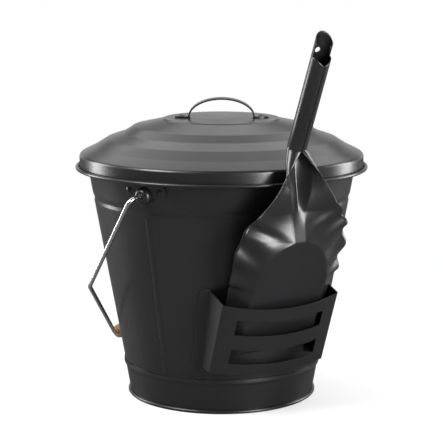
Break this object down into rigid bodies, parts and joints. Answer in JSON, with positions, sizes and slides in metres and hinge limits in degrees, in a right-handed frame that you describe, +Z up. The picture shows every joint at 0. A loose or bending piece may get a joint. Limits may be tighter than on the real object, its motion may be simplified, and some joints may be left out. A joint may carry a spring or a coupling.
{
  "type": "ash bucket with lid and shovel",
  "caption": "Black painted steel ash bucket with a stepped lid, a swinging wire bail and a pressed shovel in a side pocket.",
  "frame": {"origin": "centre of the base, on the floor", "axes": "+Z up through the lid, +X along the bail's hinge axis, the shovel pocket towards -Y and -X"},
  "size_m": [0.3714, 0.3899, 0.4488],
  "materials": {
    "black_steel": "satin",
    "bare_wire": "bright zinc",
    "grip_wood": "oiled",
    "hidden_wire": "plain drawn wire"
  },
  "bodies": {
    "bucket": {"bucket_wall": "black_steel", "rim_wire": "hidden_wire", "foot_ring": "black_steel", "floor_pan": "black_steel", "ear_left": "black_steel", "ear_right": "black_steel", "ear_left_rivets": "black_steel", "ear_right_rivets": "black_steel", "shovel_pocket": "black_steel"},
    "bail": {"bail_wire": "bare_wire"},
    "grip": {"bail_grip": "grip_wood"},
    "lid": {"lid_shell": "black_steel", "lid_handle": "black_steel", "lid_handle_rivets": "black_steel"},
    "shovel": {"shovel": "black_steel"}
  },
  "joints": [
    {"name": "bail_swing", "type": "hinge", "parent": "bucket", "child": "bail", "pos_m": [0, 0, 0.26], "axis": [1, 0, 0], "range_deg": [0, 196]},
    {"name": "grip_spin", "type": "hinge", "parent": "bail", "child": "grip", "pos_m": [0, 0.13178, 0.06061], "axis": [1, 0, 0], "continuous": true},
    {"name": "lid_lift", "type": "slide", "parent": "bucket", "child": "lid", "axis": [0, 0, 1], "range_m": [0, 0.12]},
    {"name": "shovel_lift", "type": "slide", "parent": "bucket", "child": "shovel", "axis": [-0.2146, -0.3556, 0.9096], "range_m": [0, 0.16]}
  ]
}
